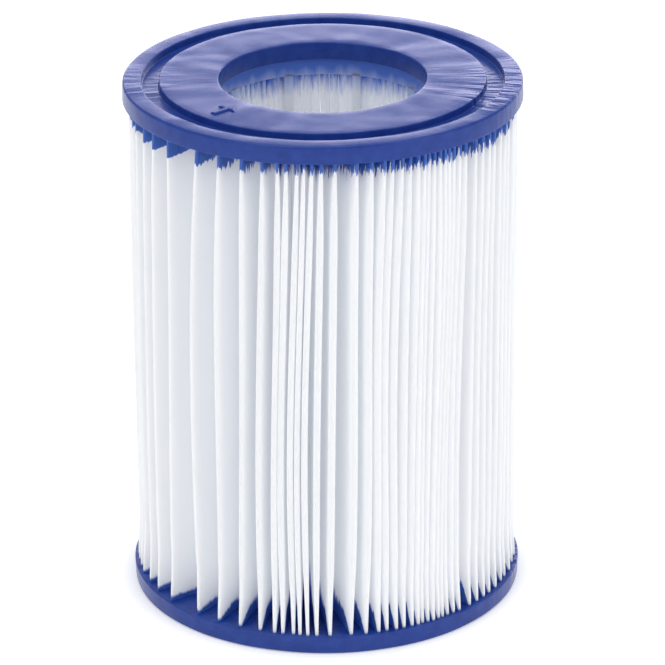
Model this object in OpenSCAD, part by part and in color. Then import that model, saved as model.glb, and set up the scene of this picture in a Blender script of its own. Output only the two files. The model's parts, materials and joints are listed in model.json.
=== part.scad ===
// Filter cartridge for a small pool or spa pump.
// One pleated strip of non-woven polyester is closed into a ring round a
// perforated support tube, and both ends are potted in cast polyurethane caps.
// Units: mm, +Z up, origin at the centre of the bottom face.

/* [Overall] */
// Outside diameter of both end caps
cap_d = 106; // [80:1:220]
// Height over both end caps
total_h = 144; // [60:1:520]

/* [End caps] */
// Thickness of a cast cap
cap_t = 5; // [4:0.5:12]
// Diameter of the central hole through a cap
hole_d = 55; // [20:0.5:90]
// Outside diameter of the flat sealing face round the hole
plateau_d = 86.4; // [40:0.1:180]
// Width of the shallow groove between sealing face and rim
groove_w = 4.8; // [1:0.1:10]
// Depth of that groove
groove_depth = 2; // [0.5:0.1:3]
// Radius left by the mould on outer edges
edge_r = 0.6; // [0.1:0.1:1.5]
// Chamfer round the mouth of the hole
hole_chamfer = 0.5; // [0:0.1:1]
// How deep media and support tube are potted into each cap
pot_depth = 2; // [1:0.5:3]

/* [Media] */
// Number of pleats in the closed ring
pleats = 91; // [40:1:160]
// Thickness of the non-woven sheet
sheet_t = 0.6; // [0.4:0.05:1]
// Diameter over the outer folds
media_d = 102.8; // [70:0.1:210]
// Outside half width of an outer fold
fold_half = 0.75; // [0.5:0.05:1.2]

/* [Seam] */
// Radial depth of the adhesive bead that joins the strip's two ends
seam_depth = 9; // [3:0.5:14]

/* [Support tube] */
// Outside diameter of the support tube
core_d = 62; // [30:0.5:120]
// Wall of the support tube
core_wall = 1.6; // [1:0.1:4]
// Window columns round the tube, an even number
window_cols = 10; // [4:2:20]
// Window rows up the tube
window_rows = 6; // [1:1:20]
// Width of an upright rib between windows
rib_w = 2.4; // [1.5:0.1:8]
// Height of a hoop between window rows
hoop_h = 2.2; // [1.5:0.1:8]
// Plain band at each end of the tube
band_h = 7; // [4:0.5:20]

/* [Flow mark] */
// Height of the raised flow mark above the sealing face
mark_h = 0.35; // [0.2:0.05:0.8]
// Distance of the flow mark from the axis
mark_r = 31.5; // [30:0.5:34]
// Bearing of the flow mark
mark_angle = -135; // [-180:5:180]

/* [Colours] */
cap_colour = "#2f47a0";
media_colour = "#eef0f6";
core_colour = "#f2f3f1";
seam_colour = "#e9e4d2";

/* [Hidden] */
$fn = 96;
eps = 0.01;

cap_r = cap_d / 2;
hole_r = hole_d / 2;
plateau_r = plateau_d / 2;
groove_r = plateau_r + groove_w;
pitch = 360 / pleats;
seam_angle = -44;                          // bearing of the valley with the seam
fold_r = media_d / 2;                      // over the outer folds
root_r = core_d / 2 + 0.15;                // over the inner folds
media_z = cap_t - pot_depth;               // where the potted ends stop
media_h = total_h - 2 * media_z;
core_r = core_d / 2;

// Half angles of the folds, as seen from outside and from inside the sheet
fold_out = asin(fold_half / fold_r);
fold_in = asin((fold_half - sheet_t) / fold_r);
root_out = asin(0.15 / root_r);
root_in = asin((0.15 + sheet_t) / root_r);

function polar(r, a) = [r * cos(a), r * sin(a)];
function crest(i) = seam_angle + (i + 0.5) * pitch;
function valley(i) = seam_angle + i * pitch;

// Outer face of the sheet, from one side of the seam valley round to the other
function outer_line() = [for (i = [0:pleats - 1]) each [
    polar(root_r + sheet_t, valley(i) + root_out),
    polar(fold_r, crest(i) - fold_out),
    polar(fold_r, crest(i) + fold_out),
    polar(root_r + sheet_t, valley(i + 1) - root_out)]];

// Inner face of the sheet, walked back the other way
function inner_line() = [for (i = [pleats - 1:-1:0]) each [
    polar(root_r, valley(i + 1) - (i == pleats - 1 ? root_out : root_in)),
    polar(fold_r - sheet_t, crest(i) + fold_in),
    polar(fold_r - sheet_t, crest(i) - fold_in),
    polar(root_r, valley(i) + (i == 0 ? root_out : root_in))]];

module media_outline() {
    polygon(concat(outer_line(), inner_line()));
}

// Point on a wall of the seam valley, side -1 or 1, at a share s of its depth
function seam_wall(side, s) = let(
    a = polar(root_r + sheet_t, seam_angle + side * root_out),
    b = polar(fold_r, seam_angle + side * (0.5 * pitch - fold_out)))
    a + s * (b - a);

module seam_outline() {
    s = seam_depth / (fold_r - root_r - sheet_t);
    polygon([polar(root_r, seam_angle - root_out),
             seam_wall(-1, 0), seam_wall(-1, s),
             seam_wall(1, s), seam_wall(1, 0),
             polar(root_r, seam_angle + root_out)]);
}

// Half section of a cap, outer face up: hole wall, sealing face, groove, rim
module cap_section() {
    polygon([
        [hole_r, 0],
        [hole_r, cap_t - hole_chamfer],
        [hole_r + hole_chamfer, cap_t],
        [plateau_r - edge_r / 2, cap_t],
        [plateau_r, cap_t - edge_r / 2],
        [plateau_r, cap_t - groove_depth],
        [groove_r, cap_t - groove_depth],
        [groove_r, cap_t - edge_r / 2],
        [groove_r + edge_r / 2, cap_t],
        [cap_r - edge_r, cap_t],
        [cap_r - 0.3 * edge_r, cap_t - 0.3 * edge_r],
        [cap_r, cap_t - edge_r],
        [cap_r, 0.3],
        [cap_r - 0.3, 0]]);
}

// A cap lying at the origin with its outer face up, pockets for the potted ends
module cap() {
    difference() {
        rotate_extrude() cap_section();
        translate([0, 0, -1]) linear_extrude(pot_depth + 1) {
            media_outline();
            seam_outline();
        }
        translate([0, 0, -1]) difference() {
            cylinder(r = core_r, h = pot_depth + 1);
            translate([0, 0, -1]) cylinder(r = core_r - core_wall, h = pot_depth + 3);
        }
    }
}

// Raised arrow pointing to the axis, its point at distance x
module arrow(x) {
    linear_extrude(mark_h)
        polygon([[x, 0], [x + 3.8, 3], [x + 3.8, 0.9], [x + 8.5, 0.9],
                 [x + 8.5, -0.9], [x + 3.8, -0.9], [x + 3.8, -3]]);
}

module top_end_cap() {
    color(cap_colour) {
        translate([0, 0, total_h - cap_t]) cap();
        // flow mark: water passes from the outside to the middle
        rotate([0, 0, mark_angle]) translate([0, 0, total_h - eps]) arrow(mark_r);
    }
}

module bottom_end_cap() {
    color(cap_colour) translate([0, 0, cap_t]) mirror([0, 0, 1]) cap();
}

module pleated_media() {
    color(media_colour) translate([0, 0, media_z])
        linear_extrude(media_h) media_outline();
}

module seam_bead() {
    color(seam_colour) translate([0, 0, media_z])
        linear_extrude(media_h) seam_outline();
}

module support_tube() {
    window_z0 = media_z + band_h;
    window_h = (total_h - 2 * window_z0 - (window_rows - 1) * hoop_h) / window_rows;
    window_w = 2 * (core_r - core_wall) * sin(180 / window_cols) - rib_w;
    color(core_colour) difference() {
        translate([0, 0, media_z]) cylinder(r = core_r, h = media_h);
        translate([0, 0, media_z - 1]) cylinder(r = core_r - core_wall, h = media_h + 2);
        for (k = [0:window_rows - 1], c = [0:window_cols / 2 - 1])
            rotate([0, 0, c * 360 / window_cols])
                translate([-core_r - 1, -window_w / 2, window_z0 + k * (window_h + hoop_h)])
                    cube([2 * core_r + 2, window_w, window_h]);
    }
}

top_end_cap();
bottom_end_cap();
pleated_media();
seam_bead();
support_tube();
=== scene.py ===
import json
import math

import bmesh
import bpy
import numpy as np
from mathutils import Matrix, Vector


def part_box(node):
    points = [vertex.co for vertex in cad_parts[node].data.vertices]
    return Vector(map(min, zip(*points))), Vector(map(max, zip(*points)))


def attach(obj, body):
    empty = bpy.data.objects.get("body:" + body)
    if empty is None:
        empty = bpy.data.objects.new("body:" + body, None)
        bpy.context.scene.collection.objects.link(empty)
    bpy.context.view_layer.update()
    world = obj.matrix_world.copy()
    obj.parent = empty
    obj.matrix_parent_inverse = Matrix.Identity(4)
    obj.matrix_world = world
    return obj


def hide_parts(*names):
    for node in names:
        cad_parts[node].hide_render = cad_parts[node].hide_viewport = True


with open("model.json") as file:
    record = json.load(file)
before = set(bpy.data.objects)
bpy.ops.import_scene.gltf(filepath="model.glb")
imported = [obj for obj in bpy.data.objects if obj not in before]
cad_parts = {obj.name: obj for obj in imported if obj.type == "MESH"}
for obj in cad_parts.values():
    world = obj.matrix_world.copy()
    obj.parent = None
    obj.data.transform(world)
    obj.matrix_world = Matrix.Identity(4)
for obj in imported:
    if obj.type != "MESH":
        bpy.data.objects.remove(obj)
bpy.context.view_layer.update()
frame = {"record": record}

# ---------------------------------------------------------------- sizes
# Metres and degrees. A bearing is 0 at the front (-Y) and grows to the right (+X).
MM = 0.001
MOUNTS = {mount["name"]: mount for mount in frame["record"]["mounts"]}
HOLE_R = MOUNTS["top_hole"]["dims"]["r_mm"] * MM
CAP_LOW, CAP_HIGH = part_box("bottom_end_cap")
CAP_T = CAP_HIGH[2] - CAP_LOW[2]
CAP_R = max(CAP_HIGH[0], CAP_HIGH[1])
TOP_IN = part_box("top_end_cap")[0][2]           # inner face of the upper cap
BOTTOM_IN = CAP_HIGH[2]                        # inner face of the lower cap
TOP = TOP_IN + CAP_T
MEDIA_LOW, MEDIA_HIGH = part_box("pleated_media")
MEDIA_R = max(MEDIA_HIGH[0], MEDIA_HIGH[1])
TUBE_LOW, TUBE_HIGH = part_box("support_tube")
TUBE_R = max(TUBE_HIGH[0], TUBE_HIGH[1])

GROOVE_W = 4.8 * MM
GROOVE_DEPTH = 2 * MM
RIM_W = 5 * MM
PLATEAU_R = CAP_R - RIM_W - GROOVE_W

PLEATS = 91
SHEET_T = 0.4 * MM
ROOT_R = TUBE_R + 0.35 * MM                    # middle of the sheet at its inner folds
SEAM_BEARING = 46


def linear(code):
    """sRGB hex to a linear RGBA colour."""
    parts = [int(code[i:i + 2], 16) / 255 for i in (1, 3, 5)]
    return [c / 12.92 if c <= 0.04045 else ((c + 0.055) / 1.055) ** 2.4 for c in parts] + [1.0]


def polar(r, bearing):
    """A point at a bearing, seen from above."""
    a = np.radians(np.asarray(bearing) - 90)
    return np.stack([r * np.cos(a), r * np.sin(a)], axis=-1)


def add(tree, kind, sockets=None, **settings):
    """Adds a node, sets what settings name, and links or sets each socket."""
    n = tree.nodes.new(kind)
    for name, value in settings.items():
        setattr(n, name, value)
    for name, value in (sockets or {}).items():
        if isinstance(value, bpy.types.NodeSocket):
            tree.links.new(value, n.inputs[name])
        else:
            n.inputs[name].default_value = value
    return n


def face_outwards(mesh):
    """Turns every face of a closed mesh outwards."""
    shape = bmesh.new()
    shape.from_mesh(mesh)
    bmesh.ops.recalc_face_normals(shape, faces=shape.faces)
    shape.to_mesh(mesh)
    shape.free()


def new_piece(name, mesh, material, node):
    """Puts a finished mesh in the scene in place of a CAD node, riding on the one body."""
    piece = bpy.data.objects.new(name, mesh)
    bpy.context.scene.collection.objects.link(piece)
    mesh.materials.clear()
    mesh.materials.append(material)
    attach(piece, "root")
    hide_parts(node)
    return piece


# ---------------------------------------------------------------- camera and light
EYE_DISTANCE = 1.1316                          # from the origin
EYE_ELEVATION = 26.50                          # above the floor, degrees
EYE_PAN, EYE_TILT, EYE_ROLL = -0.109, 3.276, 0.470
LENS_MM = 220.2
SENSOR_MM = 36


def set_camera():
    """Looks at the origin from the front, then turns the view by pan, tilt and roll."""
    bpy.context.scene.view_settings.view_transform = "Standard"
    data = bpy.data.cameras.new("camera")
    data.lens = LENS_MM
    data.sensor_width = SENSOR_MM
    data.clip_start = 0.01
    el = math.radians(EYE_ELEVATION)
    eye = Vector((0, -math.cos(el), math.sin(el))) * EYE_DISTANCE
    ahead = -eye.normalized()
    right = ahead.cross(Vector((0, 0, 1))).normalized()
    up = right.cross(ahead)
    for axis, angle in ((up, EYE_PAN), (right, EYE_TILT)):
        turn = Matrix.Rotation(math.radians(angle), 3, axis)
        ahead, right, up = turn @ ahead, turn @ right, turn @ up
    turn = Matrix.Rotation(math.radians(EYE_ROLL), 3, ahead)
    right, up = turn @ right, turn @ up
    camera = bpy.data.objects.new("camera", data)
    camera.matrix_world = Matrix.Translation(eye) @ Matrix((right, up, -ahead)).transposed().to_4x4()
    bpy.context.scene.collection.objects.link(camera)
    bpy.context.scene.camera = camera


def add_softbox(name, place, aim, width, height, watts, colour="#ffffff"):
    """A rectangular area light at a place, facing aim."""
    data = bpy.data.lights.new(name, "AREA")
    data.shape = "RECTANGLE"
    data.size, data.size_y = width, height
    data.energy = watts
    data.color = linear(colour)[:3]
    lamp = bpy.data.objects.new(name, data)
    lamp.location = place
    lamp.rotation_euler = (Vector(aim) - Vector(place)).to_track_quat("-Z", "Y").to_euler()
    bpy.context.scene.collection.objects.link(lamp)


def light_studio():
    """A pale surround and four softboxes, the back one low and wide for a sheen on the cap."""
    world = bpy.data.worlds.new("studio")
    bpy.context.scene.world = world
    world.use_nodes = True
    sky = world.node_tree.nodes["Background"]
    sky.inputs["Color"].default_value = linear("#fbfcff")
    sky.inputs["Strength"].default_value = 0.5
    middle = (0, 0, TOP / 2)
    add_softbox("overhead", (0, 0, 1.6), (0, 0, 0), 1.4, 1.4, 11)
    add_softbox("key", (-0.9, -1.1, 0.9), middle, 0.9, 0.9, 3.9)
    add_softbox("fill", (1.1, -0.7, 0.6), middle, 0.8, 1.0, 3.1)
    add_softbox("back", (0.4, 1.5, 0.455), (0, 0, TOP), 1.9, 0.32, 8.8, "#e8e5ff")


FLOOR_HALF = 6.0


def lay_floor(material):
    """A square floor under the cartridge, which is no part of it."""
    mesh = bpy.data.meshes.new("floor")
    half = FLOOR_HALF
    corners = [(-half, -half, 0), (half, -half, 0), (half, half, 0), (-half, half, 0)]
    mesh.from_pydata(corners, [], [(0, 1, 2, 3)])
    mesh.materials.append(material)
    floor = bpy.data.objects.new("floor", mesh)
    bpy.context.scene.collection.objects.link(floor)


# ---------------------------------------------------------------- materials
COLOUR_A, COLOUR_B, COLOUR_OUT = 6, 7, 2        # the colour sockets of a Mix node


def start_material(name):
    """A material with its Principled shader, and Object coordinates in millimetres."""
    material = bpy.data.materials.new(name)
    material.use_nodes = True
    tree = material.node_tree
    shader = tree.nodes["Principled BSDF"]
    place = add(tree, "ShaderNodeTexCoord").outputs["Object"]
    to_mm = (1 / MM, 1 / MM, 1 / MM)
    mm = add(tree, "ShaderNodeVectorMath", {0: place, 1: to_mm}, operation="MULTIPLY")
    return material, tree, shader, mm.outputs[0]


# Patches where the resin creased: bearing and half width in degrees, and strength
POURS = ((80, 27, 1.0), (-88, 16, 0.4))
CREASE_ELSEWHERE = 0.06


def cast_polyurethane():
    """Two-part resin poured in an open mould: self-levelled and glossy, with soft sink waves,
    fine lines running out from the hole where it crept against the mould, and cloudy colour."""
    material, tree, shader, mm = start_material("cast_polyurethane")
    flat = add(tree, "ShaderNodeVectorMath", {0: mm, 1: (1, 1, 0)}, operation="MULTIPLY").outputs[0]
    outward = add(tree, "ShaderNodeVectorMath", {0: flat}, operation="NORMALIZE").outputs[0]
    radius = add(tree, "ShaderNodeVectorMath", {0: flat}, operation="LENGTH").outputs["Value"]
    # lines a few degrees apart that hardly change on their way out
    drift = add(tree, "ShaderNodeMath", {0: radius, 1: 0.004}, operation="MULTIPLY").outputs[0]
    along = add(tree, "ShaderNodeCombineXYZ", {"Z": drift}).outputs[0]
    fan = add(tree, "ShaderNodeVectorMath", {0: outward, 1: along}, operation="ADD").outputs[0]
    lines = add(tree, "ShaderNodeTexNoise", {"Vector": fan, "Scale": 18, "Detail": 2, "Roughness": 0.5})
    # the resin was poured at two places, and creased there as it set
    gate = CREASE_ELSEWHERE
    for bearing, width, strength in POURS:
        toward = (*polar(1.0, bearing), 0)
        facing = add(tree, "ShaderNodeVectorMath", {0: outward, 1: toward}, operation="DOT_PRODUCT")
        here = add(tree, "ShaderNodeMapRange", {
            "Value": facing.outputs["Value"], "From Min": math.cos(math.radians(width)),
            "From Max": math.cos(math.radians(width * 0.4)), "To Max": strength})
        gate = add(tree, "ShaderNodeMath", {0: gate, 1: here.outputs[0]}, operation="MAXIMUM").outputs[0]
    # the creases are strongest near the groove and on the rim
    outer = add(tree, "ShaderNodeMapRange", {
        "Value": radius, "From Min": PLATEAU_R / MM - 6, "From Max": PLATEAU_R / MM + 1,
        "To Min": 0.2, "To Max": 1.0})
    gate = add(tree, "ShaderNodeMath", {0: gate, 1: outer.outputs[0]}, operation="MULTIPLY").outputs[0]
    crept = add(tree, "ShaderNodeMath", {0: lines.outputs["Fac"], 1: gate}, operation="MULTIPLY")
    # sinks about 17 mm across, cloudy colour about 3 mm and grain about 1.5 mm
    sinks = add(tree, "ShaderNodeTexNoise", {"Vector": mm, "Scale": 0.06, "Detail": 1, "Distortion": 0.5})
    cloud = add(tree, "ShaderNodeTexNoise", {"Vector": mm, "Scale": 0.3, "Detail": 4, "Roughness": 0.6})
    grain = add(tree, "ShaderNodeTexNoise", {"Vector": mm, "Scale": 0.7, "Detail": 2})
    tint = add(tree, "ShaderNodeValToRGB", {"Fac": cloud.outputs["Fac"]})
    dark, light = tint.color_ramp.elements
    dark.position, dark.color = 0.3, linear("#1a3686")
    light.position, light.color = 0.72, linear("#234396")
    tree.links.new(tint.outputs["Color"], shader.inputs["Base Color"])
    rough = add(tree, "ShaderNodeMapRange", {
        "Value": cloud.outputs["Fac"], "To Min": 0.23, "To Max": 0.28})
    tree.links.new(rough.outputs[0], shader.inputs["Roughness"])
    shader.inputs["IOR"].default_value = 1.48
    shader.inputs["Specular IOR Level"].default_value = 0.3
    relief = ((sinks.outputs["Fac"], 0.3), (crept.outputs[0], 0.55), (grain.outputs["Fac"], 0.006))
    bump = None
    for height, depth in relief:
        sockets = {"Height": height, "Distance": depth * MM, "Strength": 1.0}
        if bump:
            sockets["Normal"] = bump.outputs[0]
        bump = add(tree, "ShaderNodeBump", sockets)
    tree.links.new(bump.outputs[0], shader.inputs["Normal"])
    return material


def soak_mask(tree, reach, softness, pull):
    """1 where resin has been drawn up from either cap, and 0 where the surface is clean. The
    soaked edge is at reach from the cap and fades over softness, both in millimetres, and pull
    is a factor round 1 that moves the edge about."""
    place = add(tree, "ShaderNodeTexCoord").outputs["Object"]
    z = add(tree, "ShaderNodeSeparateXYZ", {"Vector": place}).outputs["Z"]
    above = add(tree, "ShaderNodeMath", {0: z, 1: BOTTOM_IN}, operation="SUBTRACT").outputs[0]
    below = add(tree, "ShaderNodeMath", {0: TOP_IN, 1: z}, operation="SUBTRACT").outputs[0]
    near = add(tree, "ShaderNodeMath", {0: above, 1: below}, operation="MINIMUM").outputs[0]
    near = add(tree, "ShaderNodeMath", {0: near, 1: 1 / MM}, operation="MULTIPLY").outputs[0]
    pulled = add(tree, "ShaderNodeMath", {0: reach, 1: pull}, operation="MULTIPLY").outputs[0]
    over = add(tree, "ShaderNodeMath", {0: pulled, 1: near}, operation="SUBTRACT").outputs[0]
    edge = add(tree, "ShaderNodeMath", {0: over, 1: softness}, operation="DIVIDE").outputs[0]
    mask = add(tree, "ShaderNodeMath", {0: edge, 1: 0.5}, operation="ADD", use_clamp=True)
    return mask.outputs[0]


# Painted light: the sheet glows faintly, blue-white where clean and blue where soaked, to brighten the
# shade between the folds
PAINTED_GLOW = 0.1


def spunbond_polyester():
    """Non-woven sheet, hot-calendered: matt white, faintly fibrous, lets light through. Where
    the cap resin crept up the folds it is blue and slightly wet-looking."""
    material, tree, shader, mm = start_material("spunbond_polyester")
    strip = add(tree, "ShaderNodeUVMap", uv_map="Strip").outputs[0]
    # streaks about 1.2 mm wide and 9 mm long that run up the folds
    tall = add(tree, "ShaderNodeVectorMath", {0: strip, 1: (850, 110, 0)}, operation="MULTIPLY")
    streaks = add(tree, "ShaderNodeTexNoise", {
        "Vector": tall.outputs[0], "Scale": 1.0, "Detail": 4, "Roughness": 0.65}, noise_dimensions="2D")
    streak = streaks.outputs["Fac"]
    pull = add(tree, "ShaderNodeMapRange", {
        "Value": streak, "From Min": 0.3, "From Max": 0.7, "To Min": 0.35, "To Max": 1.45})
    reach = add(tree, "ShaderNodeAttribute", attribute_name="reach_mm").outputs["Fac"]
    softness = add(tree, "ShaderNodeAttribute", attribute_name="softness_mm").outputs["Fac"]
    ragged = add(tree, "ShaderNodeAttribute", attribute_name="ragged").outputs["Fac"]
    pull = add(tree, "ShaderNodeMix", {"Factor": ragged, "A": 1.0, "B": pull.outputs[0]})
    soak = soak_mask(tree, reach, softness, pull.outputs[0])
    # the real sheet's fibre bundles, about 0.2 mm, are too fine to show, so these are about 0.6 mm
    fibre = add(tree, "ShaderNodeTexNoise", {"Vector": mm, "Scale": 1.6, "Detail": 4, "Roughness": 0.7})
    clean = add(tree, "ShaderNodeMix", {
        "Factor": fibre.outputs["Fac"], COLOUR_A: linear("#f3f5f8"), COLOUR_B: linear("#f9fbfc")},
        data_type="RGBA").outputs[COLOUR_OUT]
    blue = add(tree, "ShaderNodeMix", {
        "Factor": streak, COLOUR_A: linear("#29489e"), COLOUR_B: linear("#4874bc")},
        data_type="RGBA").outputs[COLOUR_OUT]
    # where the edge is soft the resin is only a thin film, and lighter
    thin = add(tree, "ShaderNodeMapRange", {"Value": softness, "From Min": 1, "From Max": 5}).outputs[0]
    blue = add(tree, "ShaderNodeMix", {
        "Factor": thin, COLOUR_A: blue, COLOUR_B: linear("#4f7ad6")},
        data_type="RGBA").outputs[COLOUR_OUT]
    colour = add(tree, "ShaderNodeMix", {
        "Factor": soak, COLOUR_A: clean, COLOUR_B: blue}, data_type="RGBA")
    tree.links.new(colour.outputs[COLOUR_OUT], shader.inputs["Base Color"])
    rough = add(tree, "ShaderNodeMapRange", {"Value": soak, "To Min": 0.85, "To Max": 0.45})
    tree.links.new(rough.outputs[0], shader.inputs["Roughness"])
    shader.inputs["IOR"].default_value = 1.45
    shader.inputs["Specular IOR Level"].default_value = 0.35
    # painted light: the glow stands in for light reaching deep between the folds, blue-white where clean
    # and blue where soaked
    shader.inputs["Emission Strength"].default_value = PAINTED_GLOW
    painted_glow = add(tree, "ShaderNodeMix", {
        "Factor": soak, COLOUR_A: linear("#f0f4fe"), COLOUR_B: linear("#1e4296")}, data_type="RGBA")
    tree.links.new(painted_glow.outputs[COLOUR_OUT], shader.inputs["Emission Color"])
    shader.inputs["Subsurface Weight"].default_value = 0.9
    shader.inputs["Subsurface Radius"].default_value = (1.0, 1.0, 1.1)
    shader.inputs["Subsurface Scale"].default_value = 2.0 * MM
    bump = add(tree, "ShaderNodeBump", {
        "Height": fibre.outputs["Fac"], "Distance": 0.04 * MM, "Strength": 1.0})
    tree.links.new(bump.outputs[0], shader.inputs["Normal"])
    return material


# How far cap resin crept along the tube, and over how much it fades, in millimetres
STAIN_REACH, STAIN_SOFTNESS = 6.5, 8.0


def natural_polypropylene():
    """Uncoloured moulded polypropylene: milky, a little see-through, satin. Cap resin has
    stained its two ends."""
    material, tree, shader, mm = start_material("natural_polypropylene")
    # runs of resin about 2.5 mm wide and 20 mm long
    tall = add(tree, "ShaderNodeVectorMath", {0: mm, 1: (0.4, 0.4, 0.05)}, operation="MULTIPLY")
    runs = add(tree, "ShaderNodeTexNoise", {"Vector": tall.outputs[0], "Scale": 1.0, "Detail": 3})
    pull = add(tree, "ShaderNodeMapRange", {
        "Value": runs.outputs["Fac"], "From Min": 0.3, "From Max": 0.7, "To Min": 0.85, "To Max": 1.15})
    soak = soak_mask(tree, STAIN_REACH, STAIN_SOFTNESS, pull.outputs[0])
    colour = add(tree, "ShaderNodeMix", {
        "Factor": soak, COLOUR_A: linear("#f8fafc"), COLOUR_B: linear("#4c78d2")}, data_type="RGBA")
    tree.links.new(colour.outputs[COLOUR_OUT], shader.inputs["Base Color"])
    shader.inputs["Roughness"].default_value = 0.42
    shader.inputs["IOR"].default_value = 1.49
    shader.inputs["Subsurface Weight"].default_value = 0.85
    shader.inputs["Subsurface Radius"].default_value = (1.0, 1.0, 1.0)
    shader.inputs["Subsurface Scale"].default_value = 1.5 * MM
    grain = add(tree, "ShaderNodeTexNoise", {"Vector": mm, "Scale": 2.2, "Detail": 2})
    bump = add(tree, "ShaderNodeBump", {
        "Height": grain.outputs["Fac"], "Distance": 0.015 * MM, "Strength": 1.0})
    tree.links.new(bump.outputs[0], shader.inputs["Normal"])
    return material


def hot_melt_adhesive():
    """Glue laid molten from a nozzle: milky cream, softly glossy, slightly lumpy."""
    material, tree, shader, mm = start_material("hot_melt_adhesive")
    lumps = add(tree, "ShaderNodeTexNoise", {"Vector": mm, "Scale": 0.6, "Detail": 2})
    colour = add(tree, "ShaderNodeMix", {
        "Factor": lumps.outputs["Fac"], COLOUR_A: linear("#e4dfcd"), COLOUR_B: linear("#f1eee2")},
        data_type="RGBA")
    tree.links.new(colour.outputs[COLOUR_OUT], shader.inputs["Base Color"])
    shader.inputs["Roughness"].default_value = 0.3
    shader.inputs["IOR"].default_value = 1.48
    shader.inputs["Subsurface Weight"].default_value = 0.4
    shader.inputs["Subsurface Scale"].default_value = 1.0 * MM
    bump = add(tree, "ShaderNodeBump", {
        "Height": lumps.outputs["Fac"], "Distance": 0.2 * MM, "Strength": 1.0})
    tree.links.new(bump.outputs[0], shader.inputs["Normal"])
    return material


def backdrop_paper():
    """Seamless white studio paper on a light table."""
    material, _, shader, _ = start_material("backdrop_paper")
    shader.inputs["Base Color"].default_value = linear("#fdfdfd")
    shader.inputs["Emission Color"].default_value = linear("#ffffff")
    shader.inputs["Emission Strength"].default_value = 0.25
    shader.inputs["Roughness"].default_value = 0.9
    shader.inputs["Specular IOR Level"].default_value = 0.1
    return material


# ---------------------------------------------------------------- end caps
ROUND_STEPS = 5                # points round a corner
CAP_SIDES = 288
RING_STEP = 2.2 * MM           # longest stretch of the section between two rings
CAST_LOW = 0.11 * MM           # the cast face lies this much lower than the flat one, on average
SINK_HIGH = 0.05 * MM
DRAFT = 0.12 * MM              # lean of the groove's walls, which let it leave the mould


def rounded_outline(corners):
    """Points of a closed outline whose corners, each (r, z, reach), are rounded."""
    points = []
    for i, (r, z, reach) in enumerate(corners):
        here = np.array((r, z))
        before = np.array(corners[i - 1][:2]) - here
        after = np.array(corners[(i + 1) % len(corners)][:2]) - here
        start = here + before / np.linalg.norm(before) * reach
        end = here + after / np.linalg.norm(after) * reach
        for k in range(ROUND_STEPS + 1):
            t = k / ROUND_STEPS
            points.append((1 - t) ** 2 * start + 2 * t * (1 - t) * here + t * t * end)
    return points


def with_rings(outline, longest):
    """The outline with long stretches divided, so that the cast face can undulate."""
    points = []
    for i, p in enumerate(outline):
        q = outline[(i + 1) % len(outline)]
        count = max(1, math.ceil(np.linalg.norm(q - p) / longest))
        points += [p + (q - p) * k / count for k in range(count)]
    return np.array(points)


def cap_outline():
    """Half section with the inner face at 0 and the outer face at CAP_T. Each corner is its
    radius from the axis, its height, and how far its rounding reaches."""
    groove_r = PLATEAU_R + GROOVE_W
    floor = CAP_T - GROOVE_DEPTH
    return rounded_outline([
        (HOLE_R, 0, 0.3 * MM),
        (HOLE_R, CAP_T, 0.45 * MM),
        (PLATEAU_R, CAP_T, 0.3 * MM),
        (PLATEAU_R + DRAFT, floor, 0.3 * MM),
        (groove_r - DRAFT, floor, 0.3 * MM),
        (groove_r, CAP_T, 0.3 * MM),
        (CAP_R - 0.15 * MM, CAP_T, 0.7 * MM),
        (CAP_R, 0, 0.35 * MM)])


def sink_wave(r, bearing, phase):
    """Slight unevenness of the poured face, where thicker resin shrank more."""
    a = np.radians(bearing)
    out = (r - HOLE_R) / (CAP_R - HOLE_R)
    return SINK_HIGH * (np.sin(5 * a + phase) * np.cos(3.1 * out + phase)
                        + 0.6 * np.sin(11 * a - 2.0 * phase + 4 * out)
                        + 0.35 * np.sin(23 * a + 5 * out + phase))


def cap_mesh(name, base, direction, phase):
    """A cap whose inner face is at height base and whose outer face points up or down, along
    direction. phase sets where its sink waves lie."""
    section = with_rings(cap_outline(), RING_STEP)
    bearings = np.arange(CAP_SIDES) * 360 / CAP_SIDES
    r = section[None, :, 0] + 0 * bearings[:, None]
    z = section[None, :, 1] + 0 * bearings[:, None]
    outer = np.clip(z / CAP_T, 0, 1) ** 3
    z = z - outer * (CAST_LOW + sink_wave(r, bearings[:, None], phase))
    xy = polar(r, bearings[:, None] + 0 * r)
    points = np.concatenate([xy, (base + direction * z)[..., None]], axis=-1).reshape(-1, 3)
    n = section.shape[0]
    faces = []
    for i in range(CAP_SIDES):
        j = (i + 1) % CAP_SIDES
        for k in range(n):
            m = (k + 1) % n
            faces.append((i * n + k, i * n + m, j * n + m, j * n + k))
    mesh = bpy.data.meshes.new(name)
    mesh.from_pydata(points.tolist(), [], faces)
    face_outwards(mesh)
    mesh.shade_smooth()
    return mesh


MARK_BEARING = -45
MARK_R = 31.5 * MM             # from the axis to the arrow's point
MARK_HIGH = 0.36 * MM
# Half outline of the mark in millimetres: outwards from its point, and to one side
ARROW = ((0, 0), (3.8, 3), (3.8, 0.9), (8.5, 0.9))
# Its rounded edge: height above the sealing face in metres, and how far in, in millimetres
MARK_EDGE = ((-0.05 * MM, 0), (0.4 * MARK_HIGH, 0.04), (0.85 * MARK_HIGH, 0.3), (MARK_HIGH, 0.5))


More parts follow.
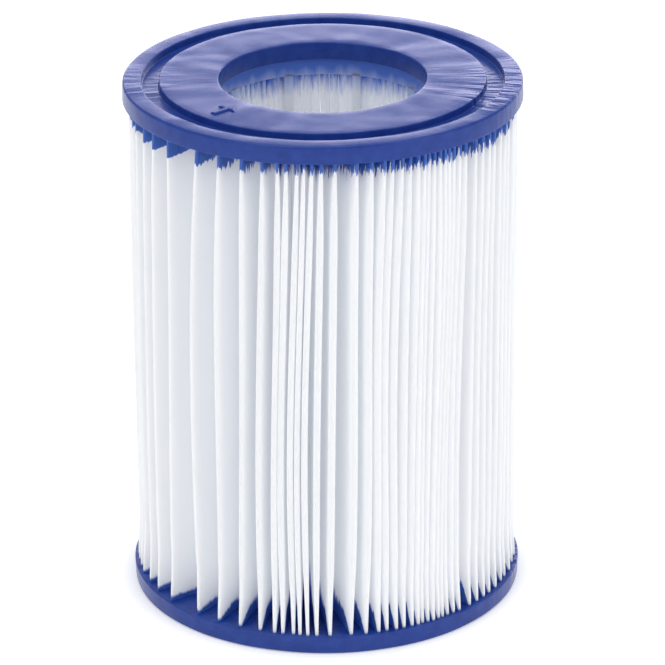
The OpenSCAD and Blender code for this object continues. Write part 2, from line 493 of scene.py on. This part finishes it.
def add_flow_mark(mesh):
    """A raised arrow that points to the axis, the way the water goes."""
    shape = bmesh.new()
    shape.from_mesh(mesh)
    outward = Vector((*polar(1.0, MARK_BEARING), 0))
    across = Vector((-outward.y, outward.x, 0))
    outline = [Vector(p) for p in ARROW] + [Vector((x, -y)) for x, y in ARROW[:0:-1]]
    rings = []
    for height, inset in MARK_EDGE:
        ring = []
        for i, corner in enumerate(outline):
            before = (corner - outline[i - 1]).normalized()
            after = (outline[(i + 1) % len(outline)] - corner).normalized()
            side = (before + after).normalized()
            side = Vector((side.y, -side.x)) / max(0.4, side.dot(after))
            x, y = (corner + side * inset) * MM
            place = outward * (MARK_R + x) + across * y + Vector((0, 0, TOP + height))
            ring.append(shape.verts.new(place))
        rings.append(ring)
    for a, b in zip(rings, rings[1:]):
        for k in range(len(outline)):
            m = (k + 1) % len(outline)
            shape.faces.new((a[k], a[m], b[m], b[k]))
    shape.faces.new(rings[0])
    shape.faces.new(rings[-1])
    bmesh.ops.recalc_face_normals(shape, faces=shape.faces)
    shape.to_mesh(mesh)
    shape.free()


# ---------------------------------------------------------------- pleated sheet
# Where the folds stand wider apart or crowd together: bearing, spread, change of pitch
CROWDING = ((-47, 21, 6.6), (-9, 9, -1.9), (5, 5, 2.4), (33, 17, -2.2),
            (88, 14, 1.2), (122, 18, -1.0), (158, 16, 1.6), (-150, 20, -1.2), (-112, 12, 1.0))
EVEN_PITCH = 4.0               # degrees between two folds elsewhere
LIE_SAMPLES = 7201             # bearings at which the folds' spacing is added up
SEAM_EXTRA = 0.7               # the seam's gap is wider than a pleat by this share of one
SEAM_HALF = 1.6                # degrees from the folds beside the seam to the strip's ends
EVENED = 0.2                   # how much more evenly the inner folds are spaced, from 0 to 1
STRAY = 0.13                   # how far a fold strays from its place, in pleats
TWIST = 2.5                    # how far the pack is turned at the top, degrees
ROWS = 25                      # rows of points between the caps

ARC = (-72, -36, 0, 36, 72)    # points round a fold, degrees
WALL_OUT = (0.36, 0.7, 0.88)   # points along a pleat's wall on its way out
WALL_IN = (0.12, 0.3, 0.64)    # and on its way back in
PINCH_HIGH = 24 * MM           # the folds are pinched over this height next to a cap
PINCHED_HALF = 0.26 * MM       # half width of an outer fold where a cap pinches it
FOLD_HALF = (0.42 * MM, 0.75 * MM)      # least and most half width of an outer fold
ROOT_HALF = (0.25 * MM, 0.95 * MM)      # and of an inner fold
ROOT_CLEAR = 0.08 * MM                  # kept clear beside an inner fold
SLIM_BEARING, SLIM_SPREAD = -50, 28     # where the outer folds are creased sharper
FLARE, FLARE_HIGH = 0.7 * MM, 14 * MM   # the outer folds stand out this far at the lower cap


def smooth(t):
    """From 0 to 1 with an easy start and end."""
    t = np.clip(t, 0, 1)
    return t * t * (3 - 2 * t)


def bell(distance, spread):
    """1 in the middle and about a third at spread from it."""
    return np.exp(-(distance / spread) ** 2)


def crest_bearings():
    """Bearings of the outer folds at the lower cap, from one side of the seam to the other."""
    b = np.linspace(SEAM_BEARING, SEAM_BEARING + 360, LIE_SAMPLES)
    pitch = np.full_like(b, EVEN_PITCH)
    for centre, spread, change in CROWDING:
        gap = (b - centre + 180) % 360 - 180
        pitch += change * bell(gap, spread)
    count = np.concatenate([[0], np.cumsum((1 / pitch[1:] + 1 / pitch[:-1]) / 2 * np.diff(b))])
    count *= (PLEATS + SEAM_EXTRA) / count[-1]
    rng = np.random.default_rng(11)
    places = np.arange(PLEATS) + (1 + SEAM_EXTRA) / 2 + rng.uniform(-STRAY, STRAY, PLEATS)
    return np.interp(places, count, b)


def fold_widths(crests):
    """Room that each pleat has at the outside."""
    gaps = np.diff(np.concatenate([[crests[-1] - 360], crests, [crests[0] + 360]]))
    return (gaps[1:] + gaps[:-1]) / 2 * math.pi / 180 * MEDIA_R


def inner_folds(crests):
    """Bearings of the inner folds, which are spaced more evenly, and half width of each."""
    middles = (crests[1:] + crests[:-1]) / 2
    middles = np.concatenate([[crests[0] - SEAM_HALF], middles, [crests[-1] + SEAM_HALF]])
    even = np.linspace(middles[0], middles[-1], PLEATS + 1)
    roots = middles + EVENED * (even - middles)
    room = np.diff(roots)
    room = np.concatenate([[room[0]], np.minimum(room[1:], room[:-1]), [room[-1]]])
    room = room * math.pi / 180 * ROOT_R
    return roots, np.clip(0.5 * room - SHEET_T / 2 - ROOT_CLEAR, *ROOT_HALF)


def sheet_rows():
    """Heights of the mesh's rows, closer together near the caps."""
    free = np.linspace(0, 1, ROWS)
    free = free - 0.11 * np.sin(2 * math.pi * free)
    rows = BOTTOM_IN + (TOP_IN - BOTTOM_IN) * free
    return np.concatenate([[MEDIA_LOW[2]], rows, [MEDIA_HIGH[2]]])


def fold_points(low_xy, top_xy, bows):
    """One row of the strip: from the seam round every inner and outer fold, back to the seam.
    bows is how far the two walls of each pleat bulge."""
    line = [low_xy[0, 2:]]
    for i in range(PLEATS):
        next_fold = low_xy[i + 1] if i < PLEATS - 1 else low_xy[i + 1, :3]
        walls = ((low_xy[i, -1], top_xy[i, 0], WALL_OUT, top_xy[i]),
                 (top_xy[i, -1], low_xy[i + 1, 0], WALL_IN, next_fold))
        for bow, (start, end, shares, fold) in zip(bows[i], walls):
            along = end - start
            across = np.array((along[1], -along[0])) / np.linalg.norm(along)
            for t in shares:
                line.append((start + along * t + across * bow * 4 * t * (1 - t))[None])
            line.append(fold)
    return np.concatenate(line)


def sheet_points():
    """Middle surface of the folded strip: rows by points by xyz."""
    crests = crest_bearings()
    width = fold_widths(crests)
    roots, root_half = inner_folds(crests)
    open_half = np.clip(0.30 * width, *FOLD_HALF)
    open_half = open_half * (1 - 0.35 * bell(crests - 360 - SLIM_BEARING, SLIM_SPREAD))

    rng = np.random.default_rng(5)
    own_lean = rng.uniform(-1, 1, PLEATS)
    own_curl = rng.uniform(-1, 1, (PLEATS, 2))
    own_radius = rng.uniform(-0.25, 0.2, PLEATS) * MM
    own_phase = rng.uniform(0, 2 * math.pi, PLEATS)

    # sideways lean at half height in degrees: two waves round the pack, and each fold's own
    a = np.radians(crests)
    arc = np.radians(ARC)
    sway = 0.55 * np.sin(13 * a + 0.6) + 0.3 * np.sin(29 * a + 2) - 0.8
    sway = sway + 0.16 * own_lean * np.degrees(width / MEDIA_R)
    bulge = own_curl * 0.055 * np.minimum(width, 6 * MM)[:, None]
    rows = []
    for z in sheet_rows():
        s = np.clip((z - BOTTOM_IN) / (TOP_IN - BOTTOM_IN), 0, 1)
        from_cap = min(abs(z - BOTTOM_IN), abs(TOP_IN - z)) if 0 < s < 1 else 0
        swell = smooth(from_cap / PINCH_HIGH)
        wander = math.sin(math.pi * s)
        lean = wander * sway + 0.35 * math.sin(2 * math.pi * s) * np.sin(7 * a)
        crest = crests + TWIST * s + lean
        crest_r = MEDIA_R - 0.35 * MM + own_radius
        crest_r = crest_r + swell * (0.25 * MM + 0.15 * MM * np.sin(5 * s + own_phase))
        crest_r = crest_r + FLARE * (1 - smooth((z - BOTTOM_IN) / FLARE_HIGH))
        half = PINCHED_HALF + (open_half - PINCHED_HALF) * swell
        root = roots + TWIST * s

        top_xy = polar((crest_r - half)[:, None] + half[:, None] * np.cos(arc),
                       crest[:, None] + np.degrees(half[:, None] * np.sin(arc) / crest_r[:, None]))
        low_xy = polar((ROOT_R + root_half)[:, None] - root_half[:, None] * np.cos(arc),
                       root[:, None] + np.degrees(root_half[:, None] * np.sin(arc) / ROOT_R))
        line = fold_points(low_xy, top_xy, bulge * wander)
        rows.append(np.column_stack([line, np.full(len(line), z)]))
    return np.array(rows)


def strip_mesh(middle):
    """The strip with its thickness: two faces and four edges."""
    count, length = middle.shape[:2]
    ahead = np.empty_like(middle[:, :, :2])
    ahead[:, 1:-1] = middle[:, 2:, :2] - middle[:, :-2, :2]
    ahead[:, 0] = middle[:, 1, :2] - middle[:, 0, :2]
    ahead[:, -1] = middle[:, -1, :2] - middle[:, -2, :2]
    ahead /= np.linalg.norm(ahead, axis=2, keepdims=True)
    out = np.stack([ahead[..., 1], -ahead[..., 0], np.zeros(ahead.shape[:2])], axis=-1)
    points = np.stack([middle + out * SHEET_T / 2, middle - out * SHEET_T / 2]).reshape(-1, 3)

    def at(side, row, k):
        return (side * count + row) * length + k

    faces = []
    for row in range(count - 1):
        for k in range(length - 1):
            faces.append((at(0, row, k), at(0, row, k + 1), at(0, row + 1, k + 1), at(0, row + 1, k)))
            faces.append((at(1, row, k), at(1, row + 1, k), at(1, row + 1, k + 1), at(1, row, k + 1)))
        for k in (0, length - 1):
            edge = (at(0, row, k), at(0, row + 1, k), at(1, row + 1, k), at(1, row, k))
            faces.append(edge if k == 0 else edge[::-1])
    for k in range(length - 1):
        for row in (0, count - 1):
            edge = (at(0, row, k), at(1, row, k), at(1, row, k + 1), at(0, row, k + 1))
            faces.append(edge if row == 0 else edge[::-1])
    mesh = bpy.data.meshes.new("pleated_media")
    mesh.from_pydata(points.tolist(), [], faces)
    mesh.shade_smooth()
    return mesh, points


def mark_strip_coordinates(mesh, points, distance):
    """Gives the strip its own coordinates in metres: along it, and up."""
    rows = len(points) // (2 * len(distance))
    u = np.tile(distance, (2, rows, 1)).reshape(-1)
    v = points[:, 2]
    corner = np.empty(len(mesh.loops), np.int32)
    mesh.loops.foreach_get("vertex_index", corner)
    strip = mesh.uv_layers.new(name="Strip")
    uv = np.column_stack([u[corner], v[corner]]).astype(np.float32)
    strip.data.foreach_set("uv", uv.reshape(-1))


INNER_DEPTH, INNER_SPAN = 12, 5     # the inner folds begin this deep, and are whole this much deeper


def mark_soaking(mesh, points):
    """Writes how far resin crept up each place and how soft its edge is, in millimetres, and
    how ragged that edge is. The open folds at the left took most at the upper cap and least at
    the lower one. Elsewhere more went up where the sheet lies deep in the pack."""
    bearing = (np.degrees(np.arctan2(points[:, 1], points[:, 0])) + 270) % 360 - 180
    depth = (MEDIA_R - np.hypot(points[:, 0], points[:, 1])) / MM
    upper = points[:, 2] > (TOP_IN + BOTTOM_IN) / 2
    inwards = np.clip((depth - INNER_DEPTH) / INNER_SPAN, 0, 1)

    open_folds = bell(bearing + 55, 32)
    crowded = bell(bearing - 55, 35)
    deep = np.clip(depth, 0, 10)
    high = 2.8 + 0.45 * deep + open_folds * (3.1 - 0.6 * deep) + 1.3 * crowded

    left = bell(bearing + 52, 24)
    right = smooth((bearing - 4) / 14)
    closed = 0.2 + (4.5 + 2 * right) * np.clip(depth / (6 - 3.8 * right), 0, 1)
    low = left * (1.4 + 0.08 * depth) + (1 - left) * closed

    reach = np.maximum(np.where(upper, high, low), 8.5 * inwards)
    softness = np.where(upper, 0.35, 0.9) + 6.5 * inwards
    ragged = np.where(upper, 1 - 0.95 * open_folds, 0.35)
    ragged = np.where(depth < INNER_DEPTH, ragged, 0.5)
    for name, values in (("reach_mm", reach), ("softness_mm", softness), ("ragged", ragged)):
        column = mesh.attributes.new(name, "FLOAT", "POINT").data
        column.foreach_set("value", values.astype(np.float32))


def folded_strip(material):
    """The pleated sheet. Returns its middle surface."""
    middle = sheet_points()
    steps = np.linalg.norm(np.diff(middle[len(middle) // 2, :, :2], axis=0), axis=1)
    distance = np.concatenate([[0], np.cumsum(steps)])
    mesh, points = strip_mesh(middle)
    mark_strip_coordinates(mesh, points, distance)
    mark_soaking(mesh, points)
    piece = new_piece("pleated_media_sheet", mesh, material, "pleated_media")
    return middle


BEAD_WALL = (0, 0.3, 0.6)      # points of the bead along each wall of the seam's valley
BEAD_EDGE, BEAD_TIP = 0.95, 1.15
BEAD_WOBBLE = 0.15


def seam_bead(middle, material):
    """Hot melt between the strip's two ends, filling the valley that they make."""
    first, last = middle[:, :5], middle[:, -5:][:, ::-1]
    rings = []
    for row in range(len(middle)):
        near, far = first[row, 2], last[row, 2]
        wall_a, wall_b = first[row, 3] - near, last[row, 3] - far
        wobble = BEAD_WOBBLE * math.sin(row * 1.7)
        shares = (*BEAD_WALL, BEAD_EDGE + wobble)
        reach = BEAD_TIP + wobble
        tip = (near + wall_a * reach + far + wall_b * reach) / 2
        one_side = [near + wall_a * t for t in shares]
        other_side = [far + wall_b * t for t in shares[::-1]]
        rings.append([*one_side, tip, *other_side])
    mesh = bpy.data.meshes.new("seam_bead")
    n = len(rings[0])
    points = [tuple(p) for ring in rings for p in ring]
    faces = [(i * n + k, i * n + (k + 1) % n, (i + 1) * n + (k + 1) % n, (i + 1) * n + k)
             for i in range(len(rings) - 1) for k in range(n)]
    faces += [tuple(range(n)), tuple((len(rings) - 1) * n + k for k in range(n))]
    mesh.from_pydata(points, [], faces)
    face_outwards(mesh)
    mesh.shade_smooth()
    new_piece("seam_bead_glue", mesh, material, "seam_bead")


# ---------------------------------------------------------------- support tube
TUBE_WALL = 1.6 * MM
BAND_HIGH = 7 * MM             # plain band at each end
HOOP_HIGH = 2.2 * MM
RIB_W = 2.4 * MM
WINDOW_ROWS, WINDOW_COLUMNS = 6, 10
TUBE_SIDES = 144
EASED = 0.3 * MM               # rounding of every bar's edges
RIB_OVERLAP = 0.6 * MM         # how far a rib reaches into the end bands
RIB_THINNER = 0.1 * MM         # a rib is this much thinner than the wall
SHARP_ANGLE = 40               # degrees between two faces past which their edge is sharp


def lattice_sizes():
    """The tree's inputs: the kind of socket and the value of each. Heights are vectors."""
    low, high = TUBE_LOW[2], TUBE_HIGH[2]
    pitch = (high - low - 2 * BAND_HIGH + HOOP_HIGH) / WINDOW_ROWS
    foot = BAND_HIGH - RIB_OVERLAP
    return {"Wall Middle": ("Float", TUBE_R - TUBE_WALL / 2),
            "Wall": ("Float", TUBE_WALL),
            "Band": ("Float", BAND_HIGH),
            "Low Band": ("Vector", (0, 0, low + BAND_HIGH / 2)),
            "High Band": ("Vector", (0, 0, high - BAND_HIGH / 2)),
            "Hoop": ("Float", HOOP_HIGH),
            "Hoops": ("Int", WINDOW_ROWS - 1),
            "First Hoop": ("Vector", (0, 0, low + BAND_HIGH + pitch - HOOP_HIGH / 2)),
            "Hoop Pitch": ("Vector", (0, 0, pitch)),
            "Rib": ("Float", RIB_W),
            "Rib Thickness": ("Float", TUBE_WALL - RIB_THINNER),
            "Ribs": ("Int", WINDOW_COLUMNS),
            "Rib Foot": ("Vector", (0, 0, low + foot)),
            "Rib Head": ("Vector", (0, 0, high - foot))}


def lattice_tree(sizes, material):
    """Geometry Nodes: end bands, hoops and upright ribs of the support tube."""
    tree = bpy.data.node_groups.new("support_lattice", "GeometryNodeTree")
    tree.interface.new_socket("Geometry", in_out="OUTPUT", socket_type="NodeSocketGeometry")
    for name, (kind, _) in sizes.items():
        tree.interface.new_socket(name, in_out="INPUT", socket_type=f"NodeSocket{kind}")
    size = add(tree, "NodeGroupInput").outputs
    circle = add(tree, "GeometryNodeCurvePrimitiveCircle", {
        "Resolution": TUBE_SIDES, "Radius": size["Wall Middle"]}).outputs["Curve"]

    def bar(path, width, thickness, capped):
        """A bar with eased edges along a path."""
        flat = add(tree, "GeometryNodeCurvePrimitiveQuadrilateral", {"Width": width, "Height": thickness})
        eased = add(tree, "GeometryNodeFilletCurve", {
            "Curve": flat.outputs[0], "Radius": EASED, "Count": 2}, mode="POLY")
        return add(tree, "GeometryNodeCurveToMesh", {
            "Curve": path, "Profile Curve": eased.outputs[0], "Fill Caps": capped}).outputs[0]

    band = bar(circle, size["Wall"], size["Band"], False)
    bands = [add(tree, "GeometryNodeTransform", {"Geometry": band, "Translation": size[end]}).outputs[0]
             for end in ("Low Band", "High Band")]

    # hoops between the rows of windows
    hoop = bar(circle, size["Wall"], size["Hoop"], False)
    stack = add(tree, "GeometryNodeMeshLine", {
        "Count": size["Hoops"], "Start Location": size["First Hoop"], "Offset": size["Hoop Pitch"]})
    hoop_set = add(tree, "GeometryNodeInstanceOnPoints", {
        "Points": stack.outputs[0], "Instance": hoop}).outputs[0]

    # upright ribs, which start just inside the end bands
    upright = add(tree, "GeometryNodeCurvePrimitiveLine", {
        "Start": size["Rib Foot"], "End": size["Rib Head"]}).outputs[0]
    rib = bar(upright, size["Rib"], size["Rib Thickness"], True)
    spokes = add(tree, "GeometryNodeMeshCircle", {
        "Vertices": size["Ribs"], "Radius": size["Wall Middle"]}).outputs[0]
    where = add(tree, "GeometryNodeInputPosition").outputs[0]
    facing = add(tree, "FunctionNodeAlignRotationToVector", {"Vector": where}, axis="Y").outputs[0]
    rib_set = add(tree, "GeometryNodeInstanceOnPoints", {
        "Points": spokes, "Instance": rib, "Rotation": facing}).outputs[0]

    join = add(tree, "GeometryNodeJoinGeometry")
    for part in (*bands, hoop_set, rib_set):
        tree.links.new(part, join.inputs[0])
    real = add(tree, "GeometryNodeRealizeInstances", {"Geometry": join.outputs[0]}).outputs[0]
    done = add(tree, "GeometryNodeSetMaterial", {"Geometry": real, "Material": material}).outputs[0]
    add(tree, "NodeGroupOutput", {"Geometry": done})
    return tree


def support_lattice(material):
    """The support tube as a plain mesh, made by the lattice's tree."""
    sizes = lattice_sizes()
    tree = lattice_tree(sizes, material)
    maker = bpy.data.objects.new("lattice_maker", bpy.data.meshes.new("lattice_maker"))
    bpy.context.scene.collection.objects.link(maker)
    modifier = maker.modifiers.new("lattice", "NODES")
    modifier.node_group = tree
    for item in tree.interface.items_tree:
        if item.in_out == "INPUT":
            modifier[item.identifier] = sizes[item.name][1]
    seen = maker.evaluated_get(bpy.context.evaluated_depsgraph_get())
    mesh = bpy.data.meshes.new_from_object(seen)
    bpy.data.objects.remove(maker)
    mesh.name = "support_tube"
    face_outwards(mesh)
    mesh.set_sharp_from_angle(angle=math.radians(SHARP_ANGLE))
    new_piece("support_tube_lattice", mesh, material, "support_tube")


# ---------------------------------------------------------------- the cartridge
set_camera()
light_studio()
lay_floor(backdrop_paper())

resin = cast_polyurethane()
top_mesh = cap_mesh("top_end_cap", TOP_IN, direction=1, phase=0.7)
add_flow_mark(top_mesh)
bottom_mesh = cap_mesh("bottom_end_cap", BOTTOM_IN, direction=-1, phase=2.9)
new_piece("top_end_cap_cast", top_mesh, resin, "top_end_cap")
new_piece("bottom_end_cap_cast", bottom_mesh, resin, "bottom_end_cap")

strip_middle = folded_strip(spunbond_polyester())
seam_bead(strip_middle, hot_melt_adhesive())
support_lattice(natural_polypropylene())
